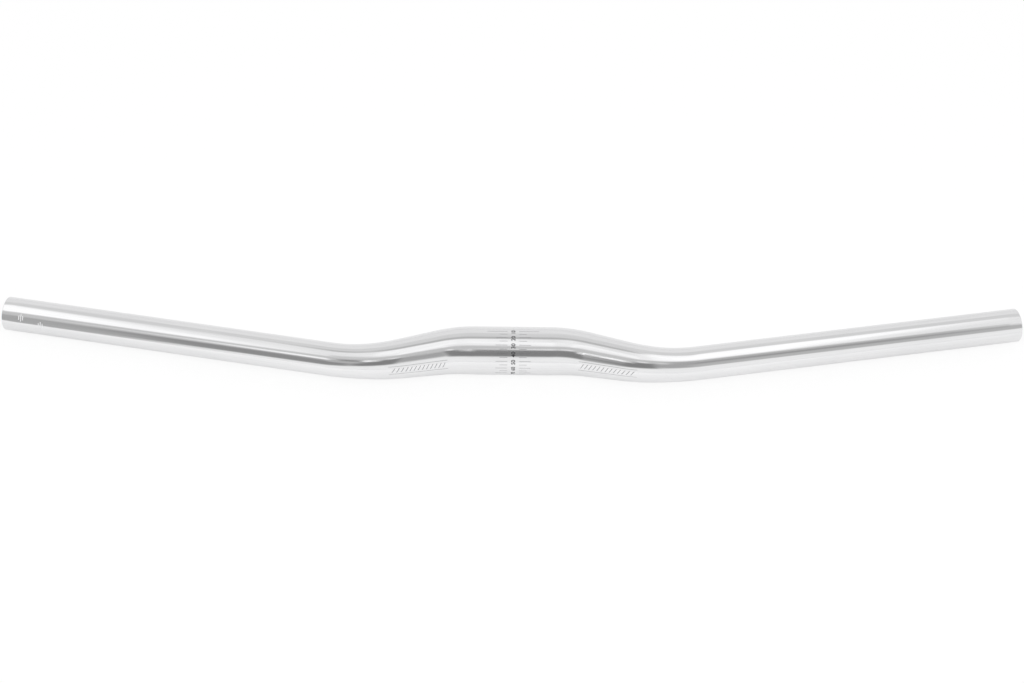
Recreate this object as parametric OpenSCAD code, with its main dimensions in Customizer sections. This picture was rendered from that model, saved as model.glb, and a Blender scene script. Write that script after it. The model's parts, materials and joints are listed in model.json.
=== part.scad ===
// Flat bicycle handlebar: one bent and tapered aluminium tube, with a thicker clamp area in the middle.
// It lies as it rests on a table: on its clamp area and on the lower edges of its two tips.
// The origin is the middle of the clamp area, +X runs along the bar and +Y points back to the rider.

/* [Overall] */
// Width of the bar from tip to tip
bar_w = 680; // [580:10:780]
// Angle by which the grips point back
backsweep = 10; // [6:0.5:12]

/* [Clamp area] */
// Diameter that the stem clamps
clamp_d = 31.8; // [31.8, 35]
// Length over which that diameter is level
clamp_w = 46; // [40:1:54]
// Wall thickness in the clamp area
clamp_wall = 2.3; // [1.8:0.1:3]

/* [Bends] */
// Straight length in the middle, between the two inner bends
middle_l = 56; // [56:1:70]
// Angle by which each side first leans forward
lean = 13; // [8:0.5:18]
// Centreline radius of the bend beside the clamp area
inner_bend_r = 90; // [70:5:140]
// Straight length between the two bends of a side
link_l = 25; // [15:1:40]
// Centreline radius of the bend that turns the grips back
outer_bend_r = 122; // [100:2:180]

/* [Taper] */
// Length along the tube over which it narrows from the clamp area to the grips
taper_l = 94; // [70:1:99]
// Length over which the narrowing starts
ease_in_l = 14; // [6:1:24]
// Length over which the narrowing ends
ease_out_l = 24; // [10:1:34]

/* [Grips] */
// Diameter of the grips
grip_d = 22.2; // [19:0.1:25.4]
// Wall thickness of the grips
grip_wall = 1.6; // [1.3:0.1:2.4]
// Rounding of the edges at the open tips
edge_r = 0.5; // [0.2:0.1:0.6]

/* [Hidden] */

$fn = 96;

// Sides and ring spacing of the outer and inner bent walls, and steps of a rounded edge
outer_sides = 48;
outer_step = 4;
inner_sides = 32;
inner_step = 6;
edge_steps = 4;

// How far a bent wall and its straight neighbour run into each other, and how far the bent wall stands proud there
lap = 1;
proud = 0.02;

clamp_r = clamp_d / 2;
grip_r = grip_d / 2;
bore_r = grip_r - grip_wall;

// Distances along the centreline from the middle of the bar to the end of each stretch
s_clamp = clamp_w / 2;
s_middle = middle_l / 2;
s_inner = s_middle + arc_length(inner_bend_r, lean);
s_link = s_inner + link_l;
s_outer = s_link + arc_length(outer_bend_r, lean + backsweep);

// Where those stretches end
p_middle = [s_middle, 0];
p_inner = bend_end(p_middle, inner_bend_r, 0, -lean);
p_link = p_inner + link_l * direction(-lean);
p_outer = bend_end(p_link, outer_bend_r, -lean, backsweep);

// The rounded outer edge of the tip, not its axis, is at half the width
tip_x = bar_w / 2 - (grip_r - edge_r) * sin(backsweep) - edge_r * (1 - cos(backsweep));
grip_l = (tip_x - p_outer.x) / cos(backsweep);

// Slope of the cone between the eased ends of the taper
cone_slope = (clamp_r - grip_r) / (taper_l - ease_in_l / 2 - ease_out_l / 2);

// The bar rolls back about the clamp's axis until the grips' lower sides, where the tips' rounding starts,
// are level with the clamp's lower side. With q = sin(rest_tilt) and rest_y the axis's place there:
// rest_y * q + grip_r * sqrt(1 - (sin(backsweep) * q)^2) = clamp_r
rest_y = p_outer.y + (grip_l - edge_r) * sin(backsweep);
rest_a = rest_y ^ 2 + (grip_r * sin(backsweep)) ^ 2;
rest_b = clamp_r * rest_y;
rest_c = clamp_r ^ 2 - grip_r ^ 2;
rest_tilt = asin((rest_b - sqrt(rest_b ^ 2 - rest_a * rest_c)) / rest_a);

function arc_length(r, angle) = r * angle * PI / 180;

function arc_angle(r, length) = length / r * 180 / PI;

function direction(heading) = [cos(heading), sin(heading)];

// End of a bend of radius r that starts at p and turns from one heading to another
function bend_end(p, r, from, to) =
    p + sign(to - from) * r * [sin(to) - sin(from), cos(from) - cos(to)];

// Heading of the centreline at a distance s from the middle
function heading(s) =
    s <= s_middle ? 0 :
    s <= s_inner ? -arc_angle(inner_bend_r, s - s_middle) :
    s <= s_link ? -lean :
    s <= s_outer ? arc_angle(outer_bend_r, s - s_link) - lean :
    backsweep;

// Point of the centreline at a distance s from the middle
function centre(s) =
    s <= s_middle ? [s, 0] :
    s <= s_inner ? bend_end(p_middle, inner_bend_r, 0, heading(s)) :
    s <= s_link ? p_inner + (s - s_inner) * direction(-lean) :
    s <= s_outer ? bend_end(p_link, outer_bend_r, -lean, heading(s)) :
    p_outer + (s - s_outer) * direction(backsweep);

// Outer radius: level, eased into a cone, and eased out into the grip
function outer_r(s) =
    let (u = s - s_clamp, v = taper_l - u)
    u <= 0 ? clamp_r :
    u <= ease_in_l ? clamp_r - cone_slope * u ^ 2 / (2 * ease_in_l) :
    v >= ease_out_l ? clamp_r - cone_slope * (u - ease_in_l / 2) :
    v >= 0 ? grip_r + cone_slope * v ^ 2 / (2 * ease_out_l) :
    grip_r;

// Inner radius: the butted wall thins as the tube narrows
function inner_r(s) =
    let (share = (outer_r(s) - grip_r) / (clamp_r - grip_r))
    outer_r(s) - grip_wall - share * (clamp_wall - grip_wall);

// Points of one ring round the centreline, whose flats just clear a circle of radius r
function ring(s, r, sides) =
    let (c = centre(s), h = heading(s), ring_r = r / cos(180 / sides) + proud)
    [for (i = [0:sides - 1])
        let (a = 360 * i / sides, back = ring_r * cos(a))
        [c.x - back * sin(h), c.y + back * cos(h), ring_r * sin(a)]];

// Distances of the rings, from the end of the clamp area to just inside the grip
function stations(step) =
    let (count = ceil((s_outer - s_clamp) / step))
    [for (i = [0:count]) s_clamp + (s_outer - s_clamp) * i / count, s_outer + lap];

// Closed skin over a list of rings that all have the same number of points
module loft(rings) {
    sides = len(rings[0]);
    last = len(rings) - 1;
    walls = [
        for (i = [0:last - 1], j = [0:sides - 1])
            let (a = i * sides + j, b = i * sides + (j + 1) % sides)
            each [[a, a + sides, b + sides], [a, b + sides, b]]
    ];
    first_cap = [for (j = [0:sides - 1]) j];
    last_cap = [for (j = [sides - 1:-1:0]) last * sides + j];
    polyhedron([for (r = rings) each r], [each walls, first_cap, last_cap]);
}

// Quarter round of an edge about a corner's centre
function edge_arc(centre, from, to) =
    [for (i = [0:edge_steps])
        let (a = from + (to - from) * i / edge_steps)
        centre + edge_r * [cos(a), sin(a)]];

// Turns a profile about a grip's axis
module along_grip() {
    translate([p_outer.x, p_outer.y, 0])
        rotate([0, 90, backsweep])
            rotate_extrude()
                children();
}

module grip_outside() {
    along_grip()
        polygon([[0, 0], [grip_r, 0], each edge_arc([grip_r - edge_r, grip_l - edge_r], 0, 90), [0, grip_l]]);
}

// The bore opens out round its edge at the tip
module grip_bore() {
    flare_r = bore_r + edge_r;
    along_grip()
        polygon([
            [0, 0],
            [bore_r, 0],
            each edge_arc([flare_r, grip_l - edge_r], 180, 90),
            [flare_r, grip_l + edge_r],
            [0, grip_l + edge_r],
        ]);
}

module clamp_cylinder(r) {
    rotate([0, 90, 0])
        cylinder(h = clamp_w + 2 * lap, r = r, center = true);
}

module both_sides() {
    children();
    mirror([1, 0, 0])
        children();
}

module tube_outside() {
    clamp_cylinder(clamp_r);
    both_sides() {
        loft([for (s = stations(outer_step)) ring(s, outer_r(s), outer_sides)]);
        grip_outside();
    }
}

module tube_inside() {
    clamp_cylinder(clamp_r - clamp_wall);
    both_sides() {
        loft([for (s = stations(inner_step)) ring(s, inner_r(s), inner_sides)]);
        grip_bore();
    }
}

// The whole bar is one tube, bored from tip to tip
module handlebar() {
    color("silver")
        rotate([-rest_tilt, 0, 0])
            difference() {
                tube_outside();
                tube_inside();
            }
}

handlebar();
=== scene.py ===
"""The looks of a flat bicycle handlebar: a polished, tapered tube with an etched scale in its clamp area.

Lengths are in metres and angles in radians, except where degrees are stated. The tube is modelled as it
lies in the frame: the origin is the middle of the clamp area, +X runs along the bar, +Y points back to the
rider and +Z up.
"""

import json
import logging
import math
from dataclasses import dataclass, field
from enum import Enum
from typing import Any, Callable, Iterable, Sequence

import bmesh
import bpy
from mathutils import Matrix, Vector


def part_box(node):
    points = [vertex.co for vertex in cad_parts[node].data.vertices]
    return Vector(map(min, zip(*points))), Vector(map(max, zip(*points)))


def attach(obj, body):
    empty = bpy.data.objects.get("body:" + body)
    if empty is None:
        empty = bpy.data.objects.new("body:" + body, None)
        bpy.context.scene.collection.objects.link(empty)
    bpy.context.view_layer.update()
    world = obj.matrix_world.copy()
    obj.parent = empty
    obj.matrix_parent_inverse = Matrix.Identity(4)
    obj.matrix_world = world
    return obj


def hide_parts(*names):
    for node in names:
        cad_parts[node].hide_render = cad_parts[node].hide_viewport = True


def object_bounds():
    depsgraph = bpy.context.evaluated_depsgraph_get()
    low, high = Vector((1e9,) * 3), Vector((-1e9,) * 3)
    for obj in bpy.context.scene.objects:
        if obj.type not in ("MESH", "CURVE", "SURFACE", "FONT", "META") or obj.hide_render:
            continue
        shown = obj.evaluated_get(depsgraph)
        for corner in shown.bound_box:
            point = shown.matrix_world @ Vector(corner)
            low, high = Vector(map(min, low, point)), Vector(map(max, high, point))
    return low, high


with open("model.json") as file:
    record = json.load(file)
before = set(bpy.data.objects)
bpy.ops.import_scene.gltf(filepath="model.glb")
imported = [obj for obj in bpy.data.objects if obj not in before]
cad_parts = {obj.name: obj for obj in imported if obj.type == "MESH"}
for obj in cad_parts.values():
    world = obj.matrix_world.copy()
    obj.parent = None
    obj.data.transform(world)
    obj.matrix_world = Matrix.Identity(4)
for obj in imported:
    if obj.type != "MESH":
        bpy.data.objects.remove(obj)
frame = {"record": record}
CAD_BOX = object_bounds()

LOG = logging.getLogger("handlebar")
MM = 0.001
BODY = "root"
TUBE_NODE = "handlebar"

# Attribute that holds the place each point of the tube had before it was bent
UNBENT = "unbent"
WHITE = (1.0, 1.0, 1.0, 1.0)
# Share of a step by which a length may overrun a whole number of steps
ROUNDING = 1e-6

Pair = tuple[float, float]
Triple = tuple[float, float, float]


class Slot(Enum):
    """The record's material slots."""

    ALUMINIUM = "polished_aluminium"
    LINES = "scale_lines"
    FIGURES = "scale_figures"


class Side(Enum):
    """The two sides of the bar, by the sign of X."""

    MINUS = -1
    PLUS = 1


# The shape of the tube


@dataclass(frozen=True)
class TubePath:
    """The bent centreline of the tube and the radii along it.

    A place on the tube is given by `along`, the distance on the centreline from the middle, negative on the
    minus side, and `rise`, the angle of the surface's normal above the bar's plane, from its front side.
    `reach` is the same distance without its sign.
    """

    clamp_radius: float
    clamp_half: float
    grip_radius: float
    bore_radius: float
    backsweep: float
    rest_tilt: float
    half_width: float
    clamp_wall: float = 2.3 * MM
    middle_half: float = 28 * MM
    lean: float = math.radians(13)
    inner_bend: float = 90 * MM
    link: float = 25 * MM
    outer_bend: float = 122 * MM
    taper: float = 94 * MM
    ease_in: float = 14 * MM
    ease_out: float = 24 * MM
    edge: float = 0.5 * MM

    @classmethod
    def from_record(cls, record: dict[str, Any], box: tuple[Vector, Vector]) -> "TubePath":
        """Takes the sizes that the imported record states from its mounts.

        Args:
            record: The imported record.
            box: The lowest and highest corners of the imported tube.

        Returns:
            The path, with the stated radii, sweep, tilt and width.
        """
        mounts = {mount["name"]: mount for mount in record["mounts"]}
        clamp, grip, bore = mounts["stem_clamp"], mounts["left_grip"], mounts["left_end_bore"]
        axis = Vector(grip["axis"])
        return cls(
            clamp_radius=clamp["dims"]["r_mm"] * MM,
            clamp_half=clamp["dims"]["length_mm"] * MM / 2,
            grip_radius=grip["dims"]["r_mm"] * MM,
            bore_radius=bore["dims"]["r_mm"] * MM,
            backsweep=math.acos(axis.x),
            rest_tilt=math.atan2(-axis.z, axis.y),
            half_width=(box[1].x - box[0].x) / 2,
        )

    @property
    def inner_end(self) -> float:
        """Distance at which the inner bend ends."""
        return self.middle_half + self.inner_bend * self.lean

    @property
    def link_end(self) -> float:
        """Distance at which the straight between the bends ends."""
        return self.inner_end + self.link

    @property
    def outer_end(self) -> float:
        """Distance at which the outer bend ends and the grip starts."""
        return self.link_end + self.outer_bend * (self.lean + self.backsweep)

    @property
    def tip(self) -> float:
        """Distance at which the tube is cut off, so that its rounded rim just reaches the bar's width.

        Returns:
            The distance from the middle.
        """
        rim_reach = (self.grip_radius - self.edge) * math.sin(self.backsweep)
        tip_x = self.half_width - rim_reach - self.edge * (1 - math.cos(self.backsweep))
        return self.outer_end + (tip_x - self.flat_point(self.outer_end).x) / math.cos(self.backsweep)

    def heading(self, reach: float) -> float:
        """Direction of the plus side's centreline, counted from +X towards +Y.

        Args:
            reach: Distance from the middle.

        Returns:
            The angle, which is negative where the tube leans forward.
        """
        if reach <= self.middle_half:
            return 0.0
        if reach <= self.inner_end:
            return -(reach - self.middle_half) / self.inner_bend
        if reach <= self.link_end:
            return -self.lean
        return min((reach - self.link_end) / self.outer_bend - self.lean, self.backsweep)

    def flat_point(self, reach: float) -> Vector:
        """Point of the plus side's centreline before the bar is tilted to rest.

        Args:
            reach: Distance from the middle.

        Returns:
            The point, in the bar's own plane.
        """
        point = Vector((min(reach, self.middle_half), 0, 0))
        if reach > self.middle_half:
            point += bend_chord(self.inner_bend, 0, self.heading(min(reach, self.inner_end)))
        if reach > self.inner_end:
            point += direction(-self.lean) * (min(reach, self.link_end) - self.inner_end)
        if reach > self.link_end:
            point += bend_chord(self.outer_bend, -self.lean, self.heading(reach))
        if reach > self.outer_end:
            point += direction(self.backsweep) * (reach - self.outer_end)
        return point

    def outer_radius(self, reach: float) -> float:
        """Outer radius: level, eased into a cone, and eased out into the grip.

        Args:
            reach: Distance from the middle.

        Returns:
            The radius there.
        """
        slope = (self.clamp_radius - self.grip_radius) / (self.taper - self.ease_in / 2 - self.ease_out / 2)
        into = reach - self.clamp_half
        left = self.taper - into
        if into <= 0:
            return self.clamp_radius
        if left <= 0:
            return self.grip_radius
        if into <= self.ease_in:
            return self.clamp_radius - slope * into**2 / (2 * self.ease_in)
        if left <= self.ease_out:
            return self.grip_radius + slope * left**2 / (2 * self.ease_out)
        return self.clamp_radius - slope * (into - self.ease_in / 2)

    def inner_radius(self, reach: float) -> float:
        """Inner radius: the wall thins as the tube narrows.

        Args:
            reach: Distance from the middle.

        Returns:
            The radius there.
        """
        grip_wall = self.grip_radius - self.bore_radius
        share = (self.outer_radius(reach) - self.grip_radius) / (self.clamp_radius - self.grip_radius)
        return self.outer_radius(reach) - grip_wall - share * (self.clamp_wall - grip_wall)

    def section(self, reach: float, radius: float) -> Matrix:
        """Matrix that carries a unit circle round Z onto the tube's section on the plus side.

        Args:
            reach: Distance from the middle.
            radius: Radius of the section.

        Returns:
            The matrix. Its X axis points back, its Y axis up and its Z axis along the tube.
        """
        heading = self.heading(reach)
        back = Vector((-math.sin(heading), math.cos(heading), 0))
        turned = Matrix((back, Vector((0, 0, 1)), direction(heading))).transposed().to_4x4()
        placed = Matrix.Translation(self.flat_point(reach)) @ turned @ Matrix.Scale(radius, 4)
        return self.at_rest() @ placed

    def at_rest(self) -> Matrix:
        """Turn of the bar about the clamp's axis that lays its tips on the floor."""
        return Matrix.Rotation(-self.rest_tilt, 4, "X")

    def surface(self, along: float, rise: float, height: float) -> Vector:
        """Point on or near the tube's outer surface.

        Args:
            along: Signed distance along the centreline.
            rise: Angle above the bar's plane, from its front side.
            height: Distance out from the surface.

        Returns:
            The point in the frame.
        """
        reach = abs(along)
        section = self.section(reach, self.outer_radius(reach) + height)
        point = section @ Vector((-math.cos(rise), math.sin(rise), 0))
        point.x = math.copysign(point.x, along)
        return point


def direction(heading: float) -> Vector:
    """Unit vector in the bar's plane with a heading counted from +X towards +Y."""
    return Vector((math.cos(heading), math.sin(heading), 0))


def bend_chord(radius: float, start: float, end: float) -> Vector:
    """Step from the start to the end of a bend that turns from one heading to another."""
    turn = math.copysign(radius, end - start)
    return Vector((math.sin(end) - math.sin(start), math.cos(start) - math.cos(end), 0)) * turn


def evenly(start: float, end: float, step: float) -> list[float]:
    """Evenly spaced values from start to end, both included, at most a step apart."""
    count = max(1, math.ceil((end - start) / step - ROUNDING))
    return [start + (end - start) * number / count for number in range(count + 1)]


# Materials


@dataclass(frozen=True, eq=False)
class Value:
    """One output of a shader node, which takes part in Python sums, differences and products."""

    graph: "Graph"
    node: bpy.types.Node
    output: int | str = 0

    @property
    def socket(self) -> bpy.types.NodeSocket:
        """The output's socket."""
        return self.node.outputs[self.output]

    def beside(self, output: int | str) -> "Value":
        """Another output of the same node."""
        return Value(self.graph, self.node, output)

    def __add__(self, other: "Value | float") -> "Value":
        """Sum."""
        return self.graph.maths("ADD", self, other)

    def __radd__(self, other: float) -> "Value":
        """Sum with a number on the left."""
        return self.graph.maths("ADD", other, self)

    def __sub__(self, other: "Value | float") -> "Value":
        """Difference."""
        return self.graph.maths("SUBTRACT", self, other)

    def __rsub__(self, other: float) -> "Value":
        """Difference with a number on the left."""
        return self.graph.maths("SUBTRACT", other, self)

    def __mul__(self, other: "Value | float") -> "Value":
        """Product."""
        return self.graph.maths("MULTIPLY", self, other)

    def __rmul__(self, other: float) -> "Value":
        """Product with a number on the left."""
        return self.graph.maths("MULTIPLY", other, self)


class Graph:
    """The node tree of a material or of the world, emptied and built up again."""

    # Numbers of the Mix node's colour sockets, which share their names with its other sockets
    FIRST_COLOUR, SECOND_COLOUR, MIXED_COLOUR = 6, 7, 2

    def __init__(self, owner: bpy.types.Material | bpy.types.World) -> None:
        """Empties the tree.

        Args:
            owner: The material or world that the tree belongs to.
        """
        owner.use_nodes = True
        self.output_kind = f"ShaderNodeOutput{type(owner).__name__}"
        self.tree = owner.node_tree
        self.tree.nodes.clear()

    def node(
        self, kind: str, settings: dict[str, Any], inputs: dict[int | str, Any], output: int | str = 0
    ) -> Value:
        """Adds a node.

        Args:
            kind: The node's type.
            settings: Properties of the node, which are set first.
            inputs: Socket name or number to a number, tuple or Value.
            output: Name or number of the output that is returned.

        Returns:
            The chosen output.
        """
        made = self.tree.nodes.new(kind)
        for name, setting in settings.items():
            setattr(made, name, setting)
        for key, given in inputs.items():
            if isinstance(given, Value):
                self.tree.links.new(given.socket, made.inputs[key])
            else:
                made.inputs[key].default_value = given
        return Value(self, made, output)

    def finish(self, shader: Value) -> None:
        """Links a shader to the tree's output."""
        self.node(self.output_kind, {}, {"Surface": shader})

    def maths(self, operation: str, first: Value | float, second: Value | float) -> Value:
        """Result of an operation on two numbers."""
        return self.node("ShaderNodeMath", {"operation": operation}, {0: first, 1: second})

    def remap(
        self, value: Value, low: float, high: float, to_low: float = 0.0, to_high: float = 1.0
    ) -> Value:
        """Smooth step of a value from one range to another."""
        inputs = {"Value": value, "From Min": low, "From Max": high, "To Min": to_low, "To Max": to_high}
        return self.node("ShaderNodeMapRange", {"interpolation_type": "SMOOTHSTEP"}, inputs)

    def inside(self, value: Value, limits: Pair, blur: float) -> Value:
        """One between two limits and zero outside them, with soft edges."""
        low, high = (self.remap(value, limit - blur / 2, limit + blur / 2) for limit in limits)
        return low - high

    def noise(self, place: Value, scale: Sequence[float], detail: float) -> Value:
        """Noise from 0 to 1 with its own scale on each axis."""
        scaled = self.node("ShaderNodeVectorMath", {"operation": "MULTIPLY"}, {0: place, 1: tuple(scale)})
        return self.node("ShaderNodeTexNoise", {}, {"Vector": scaled, "Scale": 1.0, "Detail": detail})

    def mix_colour(self, factor: Value, first: Triple, second: Triple) -> Value:
        """Blend of two colours."""
        inputs = {"Factor": factor, self.FIRST_COLOUR: (*first, 1.0), self.SECOND_COLOUR: (*second, 1.0)}
        return self.node("ShaderNodeMix", {"data_type": "RGBA"}, inputs, self.MIXED_COLOUR)

    def object_place(self) -> Value:
        """Place of the point that is shaded, which is the frame's because every piece sits at the origin."""
        return self.node("ShaderNodeTexCoord", {}, {}, "Object")

    def unbent_place(self) -> Value:
        """Place that the point had before the tube was bent, so that a pattern follows the bends."""
        return self.node("ShaderNodeAttribute", {"attribute_name": UNBENT}, {}, "Vector")

    def metal(self, colour: Value, roughness: Value, heights: Value) -> Value:
        """Bare metal with a fine relief.

        Args:
            colour: Its colour.
            roughness: Its roughness.
            heights: Height of its relief, in metres.

        Returns:
            The shader.
        """
        bumped = self.node("ShaderNodeBump", {}, {"Strength": 1.0, "Distance": 1.0, "Height": heights})
        inputs = {"Base Color": colour, "Metallic": 1.0, "Roughness": roughness, "Normal": bumped}
        return self.node("ShaderNodeBsdfPrincipled", {}, inputs)


@dataclass(frozen=True)
class PolishedAluminium:
    """Bright aluminium, polished along the tube: fine lines, cloudy wear and a faint waviness."""

    name: str = "polished_aluminium"
    bright: Triple = (0.88, 0.88, 0.885)
    dull: Triple = (0.84, 0.84, 0.848)
    roughness: Pair = (0.085, 0.13)
    line_scale: Triple = (22.0, 1500.0, 1500.0)
    cloud_scale: Triple = (18.0, 60.0, 60.0)
    wave_scale: Triple = (14.0, 55.0, 55.0)
    line_share: float = 0.55
    line_height: float = 0.0006 * MM
    wave_height: float = 0.035 * MM
    colour_span: Pair = (0.35, 0.65)
    wear_span: Pair = (0.3, 0.7)

    def build(self) -> bpy.types.Material:
        """Makes the material.

        Returns:
            The new material.
        """
        material = bpy.data.materials.new(self.name)
        graph = Graph(material)
        place = graph.unbent_place()
        lines = graph.noise(place, self.line_scale, detail=2.0)
        clouds = graph.noise(place, self.cloud_scale, detail=3.0)
        waves = graph.noise(place, self.wave_scale, detail=1.0)
        wear = lines * self.line_share + clouds * (1 - self.line_share)
        colour = graph.mix_colour(graph.remap(wear, *self.colour_span), self.dull, self.bright)
        smoothest, roughest = self.roughness
        roughness = graph.remap(wear, *self.wear_span, roughest, smoothest)
        heights = lines * self.line_height + waves * self.wave_height
        graph.finish(graph.metal(colour, roughness, heights))
        return material


@dataclass(frozen=True)
class DrawnAluminium:
    """The bare, greyer inside of the tube, with the lines that drawing leaves."""

    name: str = "drawn_aluminium"
    light: Triple = (0.62, 0.62, 0.63)
    dark: Triple = (0.42, 0.42, 0.43)
    roughness: Pair = (0.34, 0.5)
    line_scale: Triple = (14.0, 900.0, 900.0)
    line_height: float = 0.01 * MM
    line_span: Pair = (0.3, 0.7)

    def build(self) -> bpy.types.Material:
        """Makes the material.

        Returns:
            The new material.
        """
        material = bpy.data.materials.new(self.name)
        graph = Graph(material)
        lines = graph.noise(graph.unbent_place(), self.line_scale, detail=3.0)
        colour = graph.mix_colour(graph.remap(lines, *self.line_span), self.dark, self.light)
        smoothest, roughest = self.roughness
        roughness = graph.remap(lines, *self.line_span, roughest, smoothest)
        graph.finish(graph.metal(colour, roughness, lines * self.line_height))
        return material


@dataclass(frozen=True)
class EtchedMark:
    """A mark burnt into the polish: matt, with a fine grain."""

    name: str
    light: Triple
    dark: Triple
    metallic: float
    roughness: float
    grain_scale: float = 5200.0
    grain_span: Pair = (0.35, 0.65)

    def build(self) -> bpy.types.Material:
        """Makes the material.

        Returns:
            The new material.
        """
        material = bpy.data.materials.new(self.name)
        graph = Graph(material)
        grain = graph.noise(graph.object_place(), (self.grain_scale,) * 3, detail=2.0)
        colour = graph.mix_colour(graph.remap(grain, *self.grain_span), self.dark, self.light)
        inputs = {"Base Color": colour, "Metallic": self.metallic, "Roughness": self.roughness}
        graph.finish(graph.node("ShaderNodeBsdfPrincipled", {}, inputs))
        return material


ETCHED_GREY = EtchedMark("etched_grey", (0.44, 0.44, 0.45), (0.34, 0.34, 0.35), 1.0, 0.32)
ETCHED_PALE = EtchedMark("etched_pale", (0.92, 0.92, 0.93), (0.84, 0.84, 0.85), 0.15, 0.6)
BURNT_BLACK = EtchedMark("burnt_black", (0.035, 0.035, 0.038), (0.018, 0.018, 0.02), 0.0, 0.65)


# Pieces


def new_object(bm: bmesh.types.BMesh, name: str, *materials: bpy.types.Material) -> bpy.types.Object:
    """Turns a bmesh into an object at the origin.

    Args:
        bm: The finished mesh, which is freed.
        name: Name of the object.
        materials: The materials, in the order of the faces' material numbers.

    Returns:
        The new object.
    """
    mesh = bpy.data.meshes.new(name)
    bm.to_mesh(mesh)
    bm.free()
    for material in materials:
        mesh.materials.append(material)
    made = bpy.data.objects.new(name, mesh)
    bpy.context.scene.collection.objects.link(made)
    return made


def new_piece(
    bm: bmesh.types.BMesh, name: str, slot: Slot, *materials: bpy.types.Material
) -> bpy.types.Object:
    """Turns a bmesh into a piece that rides on the bar.

    Args:
        bm: The finished mesh, which is freed.
        name: Name of the piece.
        slot: The record's material slot, which is not used.
        materials: The materials, in the order of the faces' material numbers.

    Returns:
        The new piece.
    """
    piece = new_object(bm, name, *materials)
    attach(piece, BODY)
    return piece


@dataclass
class Tube:
    """The one-piece tube: outer wall, inner wall and the rounded rims that join them."""

    # Numbers of its two materials
    POLISHED, DRAWN = 0, 1

    path: TubePath
    sides: int = 128
    bend_step: float = 1.5 * MM
    straight_step: float = 10 * MM
    bore_step: float = 6 * MM
    rim_segments: int = 4
    seam: float = 0.001 * MM

    def build(self) -> list[bpy.types.Object]:
        """Makes the tube and hides the CAD node in its place.

        Returns:
            The tube, as the only piece.
        """
        bm = bmesh.new()
        place = bm.verts.layers.float_vector.new(UNBENT)
        outer_rim = self.wall(bm, self.outer_stations(), self.path.outer_radius, self.POLISHED)
        inner_rim = self.wall(bm, self.inner_stations(), self.path.inner_radius, self.DRAWN)
        bmesh.ops.reverse_faces(bm, faces=[face for face in bm.faces if face.material_index == self.DRAWN])
        for face in bmesh.ops.bridge_loops(bm, edges=outer_rim + inner_rim)["faces"]:
            face.material_index = self.POLISHED
        bmesh.ops.bevel(
            bm,
            geom=outer_rim + inner_rim,
            offset=self.path.edge,
            offset_type="OFFSET",
            affect="EDGES",
            segments=self.rim_segments,
            profile=0.5,
            material=-1,
        )
        bmesh.ops.mirror(bm, geom=bm.verts[:] + bm.edges[:] + bm.faces[:], axis="X", merge_dist=self.seam)
        bmesh.ops.recalc_face_normals(bm, faces=bm.faces[:])
        for vert in bm.verts:
            vert[place].x = math.copysign(vert[place].x, vert.co.x)
        for face in bm.faces:
            face.smooth = True
        piece = new_piece(bm, "tube", Slot.ALUMINIUM, PolishedAluminium().build(), DrawnAluminium().build())
        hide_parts(TUBE_NODE)
        return [piece]

    def outer_stations(self) -> list[float]:
        """Distances of the outer wall's rings, which lie close together along the taper and the bends.

        Returns:
            The distances, from the middle to the tip.
        """
        path = self.path
        middle = evenly(0, path.clamp_half, self.straight_step)
        bends = evenly(path.clamp_half, path.outer_end, self.bend_step)
        grip = evenly(path.outer_end, path.tip, self.straight_step)
        return middle + bends[1:] + grip[1:]

    def inner_stations(self) -> list[float]:
        """Distances of the inner wall's rings.

        Returns:
            The distances, from the middle to the tip.
        """
        path = self.path
        bends = evenly(0, path.outer_end, self.bore_step)
        grip = evenly(path.outer_end, path.tip, self.straight_step)
        return bends + grip[1:]

    def wall(
        self,
        bm: bmesh.types.BMesh,
        stations: Sequence[float],
        radius_at: Callable[[float], float],
        material: int,
    ) -> list[bmesh.types.BMEdge]:
        """Draws a ring along the plus side of the path.

        Args:
            bm: The mesh to add to.
            stations: Distances of the rings.
            radius_at: Radius of the wall at a distance.
            material: Material number of the wall's faces.

        Returns:
            The edges of the last ring.
        """
        ring = self.path.section(stations[0], radius_at(stations[0]))
        made = bmesh.ops.create_circle(bm, cap_ends=False, segments=self.sides, radius=1.0, matrix=ring)
        verts = made["verts"]
        self.note_place(bm, verts, stations[0], radius_at(stations[0]))
        edges = list({edge for vert in verts for edge in vert.link_edges})
        for reach in stations[1:]:
            drawn = bmesh.ops.extrude_edge_only(bm, edges=edges)["geom"]
            verts = [item for item in drawn if isinstance(item, bmesh.types.BMVert)]
            edges = [item for item in drawn if isinstance(item, bmesh.types.BMEdge)]
            edges = [edge for edge in edges if set(edge.verts) <= set(verts)]
            for face in (item for item in drawn if isinstance(item, bmesh.types.BMFace)):
                face.material_index = material
            following = self.path.section(reach, radius_at(reach))
            bmesh.ops.transform(bm, matrix=following @ ring.inverted(), verts=verts)
            self.note_place(bm, verts, reach, radius_at(reach))
            ring = following
        return edges

    def note_place(
        self, bm: bmesh.types.BMesh, verts: Iterable[bmesh.types.BMVert], reach: float, radius: float
    ) -> None:
        """Writes the place that a ring's points had before bending, for the materials' patterns.

        Args:
            bm: The mesh.
            verts: The ring's points.
            reach: Distance of the ring from the middle.
            radius: Radius of the ring.
        """
        place = bm.verts.layers.float_vector[UNBENT]
        flat = self.path.section(reach, radius).inverted()
        for vert in verts:
            local = flat @ vert.co
            vert[place] = Vector((reach, local.x * radius, local.y * radius))


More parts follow.
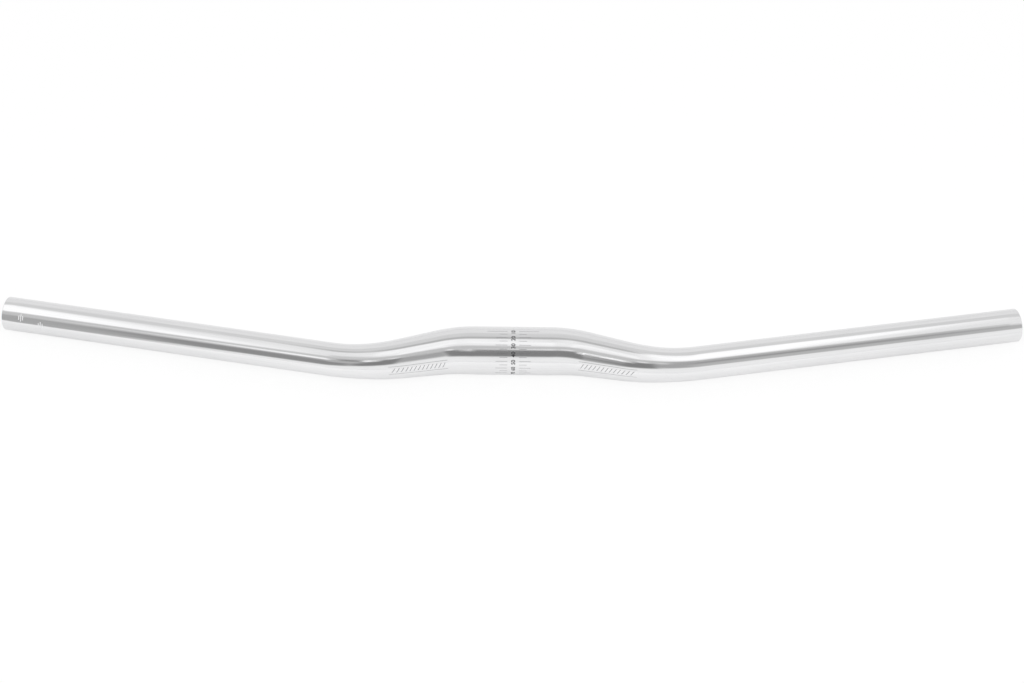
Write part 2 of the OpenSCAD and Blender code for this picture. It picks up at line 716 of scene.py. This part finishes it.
@dataclass
class Marks:
    """Flat marks that are wrapped round the tube as thin closed shells."""

    path: TubePath
    stands: float = 0.012 * MM
    depth: float = 0.06 * MM
    fineness: float = 0.5 * MM

    def stroke(
        self, bm: bmesh.types.BMesh, centre: Pair, length: float, width: float, slant: float = 0.0
    ) -> None:
        """Adds a flat stroke, drawn as distance along the tube (X) and distance round it (Y).

        Args:
            bm: The mesh to add to.
            centre: Middle of the stroke.
            length: Size along X.
            width: Size along Y.
            slant: How far the upper edge is shifted along X against the lower one.
        """
        cuts = [max(1, math.ceil(size / self.fineness)) for size in (length, width)]
        verts = bmesh.ops.create_grid(bm, x_segments=cuts[0], y_segments=cuts[1], size=0.5)["verts"]
        bmesh.ops.scale(bm, vec=(length, width, 1), verts=verts)
        for vert in verts:
            vert.co.x += slant * vert.co.y / width
        bmesh.ops.translate(bm, vec=(*centre, 0), verts=verts)

    def wrap(self, bm: bmesh.types.BMesh, along: float, rise: float) -> None:
        """Wraps a flat drawing round the tube and gives it a thickness.

        Args:
            bm: The drawing, with its origin at the place that follows.
            along: Signed distance along the tube of the drawing's origin.
            rise: Angle above the bar's plane of the drawing's origin.
        """
        radius = self.path.outer_radius(abs(along))
        raised = bmesh.ops.extrude_face_region(bm, geom=bm.faces[:])["geom"]
        verts = [item for item in raised if isinstance(item, bmesh.types.BMVert)]
        bmesh.ops.translate(bm, vec=(0, 0, self.depth + self.stands), verts=verts)
        for vert in bm.verts:
            x, y, z = vert.co
            vert.co = self.path.surface(along + x, rise + y / radius, z - self.depth)
        bmesh.ops.recalc_face_normals(bm, faces=bm.faces[:])

    def add_wrapped(
        self, whole: bmesh.types.BMesh, flat: bmesh.types.BMesh, along: float, rise: float
    ) -> None:
        """Wraps a flat drawing round the tube, adds it to a mesh and frees it.

        Args:
            whole: The mesh to add to.
            flat: The drawing.
            along: Signed distance along the tube of the drawing's origin.
            rise: Angle above the bar's plane of the drawing's origin.
        """
        self.wrap(flat, along, rise)
        mesh = bpy.data.meshes.new("wrapped")
        flat.to_mesh(mesh)
        flat.free()
        whole.from_mesh(mesh)
        bpy.data.meshes.remove(mesh)


@dataclass
class ClampScale(Marks):
    """The scale in the middle of the clamp area: lines at even angles and a column of figures."""

    first: float = math.radians(100)
    step: float = math.radians(9.85)
    lines: int = 13
    line_width: float = 0.28 * MM
    gap: float = 3.8 * MM
    longest: float = 17 * MM
    reaches: Pair = (11.5 * MM, 8.9 * MM)
    figure_every: int = 2
    figure_unit: int = 10
    figure_drop: float = math.radians(2.5)
    figure_height: float = 2.6 * MM
    # In letter sizes: how far an outline is thickened, and how near its points are when they are merged
    boldness: float = 0.02
    merging: float = 0.002
    # The bend under which a point is dropped from an outline, and how near to a cut a point counts as on it
    straightening: float = 0.01
    cut_snap: float = 0.003 * MM

    def build(self) -> list[bpy.types.Object]:
        """Makes the lines and the figures."""
        return [self.build_lines(), self.build_figures()]

    def build_lines(self) -> bpy.types.Object:
        """Makes the lines on both sides of the figures.

        Returns:
            The lines, as one piece.
        """
        whole = bmesh.new()
        for number in range(self.lines):
            reach = self.longest if number == 0 else self.reaches[number % 2]
            length = reach - self.gap
            for side in Side:
                flat = bmesh.new()
                self.stroke(flat, (side.value * (self.gap + length / 2), 0), length, self.line_width)
                self.add_wrapped(whole, flat, 0, self.first - number * self.step)
        return new_piece(whole, "scale_lines", Slot.LINES, ETCHED_GREY.build())

    def build_figures(self) -> bpy.types.Object:
        """Makes the figures, which read round the tube.

        Returns:
            The figures, as one piece.
        """
        whole = bmesh.new()
        for number in range(0, self.lines, self.figure_every):
            flat = self.figure(str(self.figure_unit * (1 + number // self.figure_every)))
            self.add_wrapped(whole, flat, 0, self.first - self.figure_drop - number * self.step)
        return new_piece(whole, "scale_figures", Slot.FIGURES, BURNT_BLACK.build())

    def figure(self, text: str) -> bmesh.types.BMesh:
        """Flat mesh of a figure, centred and turned to read round the tube.

        Args:
            text: The digits.

        Returns:
            The drawing, cut finely enough to be wrapped.
        """
        bm = self.letter_faces(text)
        bmesh.ops.remove_doubles(bm, verts=bm.verts[:], dist=self.merging)
        bmesh.ops.dissolve_limit(bm, angle_limit=self.straightening, verts=bm.verts[:], edges=bm.edges[:])
        tallest = max(vert.co.y for vert in bm.verts)
        widest = max(abs(vert.co.x) for vert in bm.verts)
        scale = self.figure_height / tallest
        bmesh.ops.translate(bm, vec=(0, -tallest / 2, 0), verts=bm.verts[:])
        bmesh.ops.scale(bm, vec=(scale, scale, scale), verts=bm.verts[:])
        bmesh.ops.rotate(bm, matrix=Matrix.Rotation(math.pi / 2, 3, "Z"), verts=bm.verts[:])
        for cut in evenly(-widest * scale, widest * scale, self.fineness)[1:-1]:
            geom = bm.verts[:] + bm.edges[:] + bm.faces[:]
            plane = {"plane_co": (0, cut, 0), "plane_no": (0, 1, 0)}
            bmesh.ops.bisect_plane(bm, geom=geom, dist=self.cut_snap, **plane)
        return bm

    def letter_faces(self, text: str) -> bmesh.types.BMesh:
        """Faces of a text in Blender's own font, at letter size 1.

        Args:
            text: The text.

        Returns:
            The flat mesh, centred along X.
        """
        curve = bpy.data.curves.new("figure", "FONT")
        curve.body = text
        curve.size = 1.0
        curve.offset = self.boldness
        curve.align_x = "CENTER"
        drawn = bpy.data.objects.new("figure", curve)
        bpy.context.scene.collection.objects.link(drawn)
        mesh = bpy.data.meshes.new_from_object(drawn.evaluated_get(bpy.context.evaluated_depsgraph_get()))
        bm = bmesh.new()
        bm.from_mesh(mesh)
        bpy.data.objects.remove(drawn)
        bpy.data.curves.remove(curve)
        bpy.data.meshes.remove(mesh)
        return bm


@dataclass
class SideStripes(Marks):
    """Plain slanted stripes between two pinlines, etched beside the clamp area on both sides."""

    middle: float = 64.6 * MM
    rise: float = math.radians(12.5)
    stripes: int = 13
    stripe_width: float = 0.55 * MM
    stripe_pitch: float = 2.7 * MM
    stripe_height: float = 3.4 * MM
    slant: float = 1.9 * MM
    pin_length: float = 38 * MM
    pin_width: float = 0.28 * MM
    pin_offset: float = 3.1 * MM

    def build(self) -> list[bpy.types.Object]:
        """Makes the stripes of both sides.

        Returns:
            The stripes, as the only piece.
        """
        whole = bmesh.new()
        for side in Side:
            flat = bmesh.new()
            for number in range(self.stripes):
                place = (number - (self.stripes - 1) / 2) * self.stripe_pitch
                self.stroke(flat, (place, 0), self.stripe_width, self.stripe_height, self.slant)
            for offset in (-self.pin_offset, self.pin_offset):
                self.stroke(flat, (0, offset), self.pin_length, self.pin_width)
            self.add_wrapped(whole, flat, side.value * self.middle, self.rise)
        return [new_piece(whole, "side_stripes", Slot.LINES, ETCHED_GREY.build())]


@dataclass
class TrimTicks(Marks):
    """Two small pale groups of ticks near the minus side's tip, where the tube may be cut shorter."""

    insets: Pair = (13.4 * MM, 27 * MM)
    rises: Pair = (math.radians(38), math.radians(20.5))
    ticks: int = 3
    tick_width: float = 0.5 * MM
    tick_pitch: float = 1.35 * MM
    tick_height: float = 5 * MM
    short_share: float = 0.6

    def build(self) -> list[bpy.types.Object]:
        """Makes the ticks of both groups.

        Returns:
            The ticks, as the only piece.
        """
        whole = bmesh.new()
        for inset, rise in zip(self.insets, self.rises):
            flat = bmesh.new()
            for number in range(self.ticks):
                place = (number - (self.ticks - 1) / 2) * self.tick_pitch
                share = 1 if number % 2 else self.short_share
                self.stroke(flat, (place, 0), self.tick_width, self.tick_height * share)
            self.add_wrapped(whole, flat, inset - self.path.tip, rise)
        return [new_piece(whole, "trim_ticks", Slot.LINES, ETCHED_PALE.build())]


# The studio


@dataclass(frozen=True)
class Panel:
    """A soft-edged card of the studio, as the metal sees it.

    Attributes:
        name: What the card stands for.
        rise: Its lower and upper edge in degrees, counted from the horizon in front of the bar, over the top
            and on past the horizon behind.
        aside: Its edges along the bar, as the sine of the angle to the bar's plane of symmetry.
        level: Its brightness, where 1 is white.
        blur: Width of its lower and upper edges in degrees.
        blur_aside: Width of its edges along the bar.
        slant: Degrees that it rises for each unit along the bar.
    """

    name: str
    rise: Pair
    aside: Pair
    level: float
    blur: float = 9.0
    blur_aside: float = 0.08
    slant: float = 0.0


EVERYWHERE = (-2.0, 2.0)

# In degrees: the rise of straight down, from which the cards' edges are counted, and a full turn
STRAIGHT_DOWN = -90.0
FULL_TURN = 360.0

# Each card covers those before it
PANELS = (
    Panel("rear wall", (150, 300), EVERYWHERE, 0.84, blur=30),
    Panel("rear cloth", (118, 150), EVERYWHERE, 0.72, blur=16),
    Panel("grey cloth", (40, 82), EVERYWHERE, 0.61, blur=8),
    Panel("dark flag", (28, 60), (-0.2, 0.13), 0.24, blur=10, slant=18),
    Panel("left flag", (31.4, 66), (-2.0, -0.2), 0.29, blur=11, slant=42),
    Panel("grey flag", (33, 75), (0.13, 2.0), 0.42, blur=11, slant=6),
    Panel("pale flag", (36, 74), (0.29, 2.0), 0.51, blur=11),
    Panel("right line", (54, 67), (0.28, 0.475), 0.36, blur=8, blur_aside=0.05),
    Panel("far right cloth", (65, 84), (0.45, 2.0), 0.78, blur=12, blur_aside=0.05),
    Panel("far left flag", (1, 50), (-2.0, -0.455), 0.44, blur=10, blur_aside=0.05),
    Panel("left streak", (42, 54), (-0.34, -0.14), 0.5, blur=9, blur_aside=0.06),
    Panel("left line", (57, 63), (-0.44, -0.3), 0.74, blur=4, blur_aside=0.05),
    Panel("left shade", (54, 66), (-0.235, -0.145), 0.30, blur=6, blur_aside=0.03),
    Panel("ceiling", (80, 117), EVERYWHERE, 0.95, blur=10),
    Panel("left lamp", (76, 124), (-0.6, -0.3), 1.16, blur=12),
    Panel("ceiling gap", (76, 122), (-0.24, -0.14), 0.88, blur=16),
    Panel("low ceiling", (74, 87), (-0.235, -0.13), 0.64, blur=10, blur_aside=0.05),
    Panel("middle lamp", (88, 113), (-0.12, 0.02), 1.05, blur=9, blur_aside=0.03),
    Panel("small lamp", (80, 98), (0.02, 0.065), 1.1, blur=7, blur_aside=0.02),
    Panel("small gap", (101, 118), (0.025, 0.08), 0.86, blur=7, blur_aside=0.02),
    Panel("right lamp", (84, 123), (0.145, 0.32), 1.17, blur=11, blur_aside=0.05),
    Panel("right ceiling", (78, 125), (0.34, 2.0), 0.9, blur=14),
    Panel("dark gap", (115, 126), (-0.16, 0.14), 0.5, blur=6, blur_aside=0.06),
    Panel("right strip", (60.5, 67), (0.008, 0.08), 0.9, blur=3, blur_aside=0.02),
    Panel("left sparkle", (54, 65), (-0.365, -0.295), 1.1, blur=5, blur_aside=0.03),
    Panel("middle sparkle", (52, 62.5), (-0.132, -0.1), 1.4, blur=5, blur_aside=0.012),
    Panel("link sparkle", (52, 63), (-0.09, -0.045), 0.8, blur=5, blur_aside=0.03),
    Panel("right sparkle", (60, 72), (0.135, 0.175), 0.78, blur=6, blur_aside=0.03),
)


@dataclass
class Studio:
    """Floor, soft light and camera."""

    floor_size: float = 12.0
    # Floor colour in front of and behind the bar, for all rays but the camera's; the darker back is painted
    # shade
    floor_tones: Pair = (0.9, 0.81)
    floor_fade: float = 0.12
    floor_glow: float = 0.88
    floor_glow_in_metal: float = 0.15
    wall_level: float = 0.94
    lamp_size: Pair = (1.2, 0.5)
    lamp_elevation: float = math.radians(66)
    lamp_distance: float = 1.5
    lamp_power: float = 9.0
    camera_azimuth: float = math.radians(-0.93)
    camera_elevation: float = math.radians(56.67)
    camera_roll: float = math.radians(1.394)
    camera_distance: float = 1.21906
    sensor_width: float = 36.0
    lens: float = 64.92
    aim: Vector = field(default_factory=lambda: Vector((-0.74, 5.13, 3.36)) * MM)

    def build(self) -> None:
        """Makes the whole studio."""
        bpy.context.scene.view_settings.view_transform = "Standard"
        self.build_world()
        self.build_floor()
        self.build_lamp()
        self.build_camera()

    def build_world(self) -> None:
        """Makes a world that is white for the camera, and long soft panels for the metal and the floor."""
        world = bpy.data.worlds.new("studio")
        bpy.context.scene.world = world
        graph = Graph(world)
        ray = graph.node("ShaderNodeTexCoord", {}, {}, "Generated")
        aside = graph.node("ShaderNodeSeparateXYZ", {}, {0: ray}, "X")
        turn = graph.maths("ARCTAN2", aside.beside("Z"), 0 - aside.beside("Y")) * math.degrees(1)
        rise = turn + graph.maths("LESS_THAN", turn, STRAIGHT_DOWN) * FULL_TURN
        level: Value | float = self.wall_level
        for panel in PANELS:
            across = graph.inside(rise - aside * panel.slant, panel.rise, panel.blur)
            mask = across * graph.inside(aside, panel.aside, panel.blur_aside)
            level = level + mask * (panel.level - level)
        panels = graph.node("ShaderNodeBackground", {}, {"Color": WHITE, "Strength": level})
        white = graph.node("ShaderNodeBackground", {}, {"Color": WHITE, "Strength": 1.0})
        seen = graph.node("ShaderNodeLightPath", {}, {}, "Is Camera Ray")
        graph.finish(graph.node("ShaderNodeMixShader", {}, {0: seen, 1: panels, 2: white}))

    def build_floor(self) -> None:
        """Makes the plain pale floor that the bar lies on."""
        bm = bmesh.new()
        bmesh.ops.create_grid(bm, x_segments=1, y_segments=1, size=self.floor_size / 2)
        bmesh.ops.translate(bm, vec=(0, 0, CAD_BOX[0].z), verts=bm.verts[:])
        floor = new_object(bm, "floor", self.floor_material())

    def floor_material(self) -> bpy.types.Material:
        """Makes the floor's material: it is white for the camera, and keeps the bar's shadow. For all other
        rays its colour is painted darker towards the back, a painted shade.

        Returns:
            The new material.
        """
        material = bpy.data.materials.new("floor")
        graph = Graph(material)
        camera = graph.node("ShaderNodeLightPath", {}, {}, "Is Camera Ray")
        in_metal = camera.beside("Is Glossy Ray") + camera.beside("Is Transmission Ray")
        back = graph.node("ShaderNodeSeparateXYZ", {}, {0: graph.object_place()}, "Y")
        # Painted shade: the floor's colour darkens from front to back, while the camera still sees it white
        painted_shade_tone = graph.remap(back, -self.floor_fade, self.floor_fade, *self.floor_tones)
        diffuse = graph.node("ShaderNodeBsdfDiffuse", {}, {"Color": painted_shade_tone + camera * (1 - painted_shade_tone)})
        white = graph.node("ShaderNodeEmission", {}, {"Color": WHITE, "Strength": 1.0})
        glow = camera * self.floor_glow + in_metal * self.floor_glow_in_metal
        graph.finish(graph.node("ShaderNodeMixShader", {}, {0: glow, 1: diffuse, 2: white}))
        return material

    def build_lamp(self) -> None:
        """Makes the soft box above the camera, which casts the soft shadow."""
        data = bpy.data.lights.new("softbox", "AREA")
        data.shape = "RECTANGLE"
        data.size, data.size_y = self.lamp_size
        data.energy = self.lamp_power
        lamp = bpy.data.objects.new("softbox", data)
        away = outward(0, self.lamp_elevation)
        lamp.matrix_world = Matrix.Translation(away * self.lamp_distance) @ facing(away)
        lamp.visible_glossy = False
        bpy.context.scene.collection.objects.link(lamp)

    def build_camera(self) -> None:
        """Makes the camera at the photograph's angle."""
        data = bpy.data.cameras.new("camera")
        data.sensor_width = self.sensor_width
        data.lens = self.lens
        camera = bpy.data.objects.new("camera", data)
        place = outward(self.camera_azimuth, self.camera_elevation) * self.camera_distance
        roll = Matrix.Rotation(self.camera_roll, 4, "Z")
        camera.matrix_world = Matrix.Translation(place) @ facing(place - self.aim) @ roll
        bpy.context.scene.collection.objects.link(camera)
        bpy.context.scene.camera = camera


def outward(azimuth: float, elevation: float) -> Vector:
    """Unit vector from the bar to a viewer, where azimuth 0 is straight in front and grows towards +X."""
    flat = math.cos(elevation)
    return Vector((flat * math.sin(azimuth), -flat * math.cos(azimuth), math.sin(elevation)))


def facing(back: Vector) -> Matrix:
    """Turn of a lamp or camera whose back points a given way."""
    return back.to_track_quat("Z", "Y").to_matrix().to_4x4()


def main() -> None:
    """Builds the bar and its studio, and reports each piece."""
    logging.basicConfig(level=logging.INFO, format="%(name)s: %(message)s")
    path = TubePath.from_record(frame["record"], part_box(TUBE_NODE))
    for part in (Tube(path), ClampScale(path), SideStripes(path), TrimTicks(path)):
        for piece in part.build():
            LOG.info("%s: %d faces", piece.name, len(piece.data.polygons))
    Studio().build()


if __name__ == "__main__":
    main()
